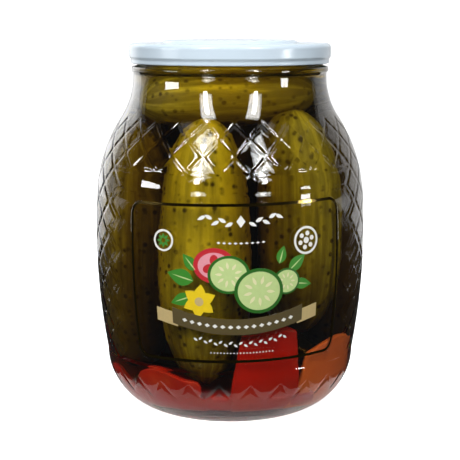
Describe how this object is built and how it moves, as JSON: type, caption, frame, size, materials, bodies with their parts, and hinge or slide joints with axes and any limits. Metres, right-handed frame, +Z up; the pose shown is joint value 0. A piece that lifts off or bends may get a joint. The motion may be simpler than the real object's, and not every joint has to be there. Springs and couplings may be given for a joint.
{
  "type": "jar of pickled cucumbers",
  "caption": "Shut glass jar with a diamond lattice and a white twist-off lid, filled with upright pickled cucumbers over red pepper strips, with a printed clear label on the front panel.",
  "frame": {"origin": "centre of the ring the jar stands on, at floor level", "axes": "+Z up along the jar's axis, -Y towards the label, +X to the label's right as it is read"},
  "size_m": [0.1104, 0.1098, 0.1502],
  "materials": {
    "glass": "clear pressed soda-lime glass, smooth inside, with a raised diamond lattice outside",
    "lid_enamel": "glossy white lacquer on drawn tinplate",
    "cucumber": "wet olive-yellow cucumber skin with dark warts",
    "red_pepper": "wet red pepper skin and flesh",
    "label_film": "clear film with opaque coloured print and a thin gold frame"
  },
  "bodies": {
    "root": {"glass_jar": "glass", "lid": "lid_enamel", "pickles": "cucumber", "peppers": "red_pepper", "label": "label_film"}
  },
  "joints": []
}
